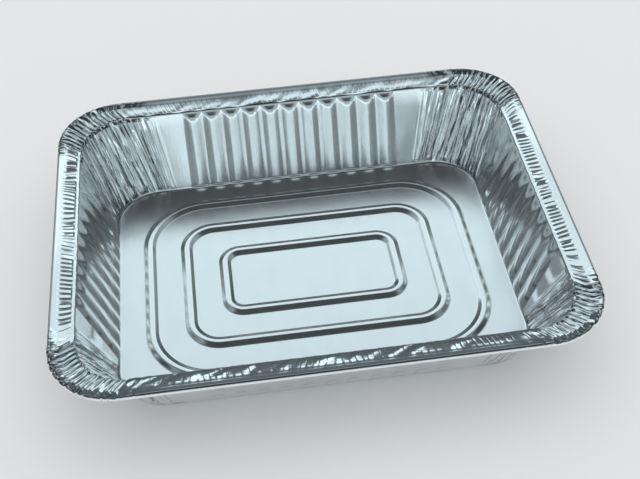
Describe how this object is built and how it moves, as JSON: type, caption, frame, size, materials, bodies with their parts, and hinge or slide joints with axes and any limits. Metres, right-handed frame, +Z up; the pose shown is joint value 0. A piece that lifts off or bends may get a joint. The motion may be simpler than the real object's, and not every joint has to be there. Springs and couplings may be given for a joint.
{
  "type": "aluminium foil tray",
  "caption": "Open rectangular food tray pressed from thin aluminium foil, with ribbed drafted walls, gathered corners, beaded floor and rolled rim.",
  "frame": {"origin": "centre of the flat underside of the floor", "axes": "+X along the long side, +Y across, +Z up through the open mouth"},
  "size_m": [0.322, 0.262, 0.0578],
  "materials": {
    "foil": "bright rolled foil, lightly wrinkled"
  },
  "bodies": {
    "root": {"foil_tray": "foil"}
  },
  "joints": []
}
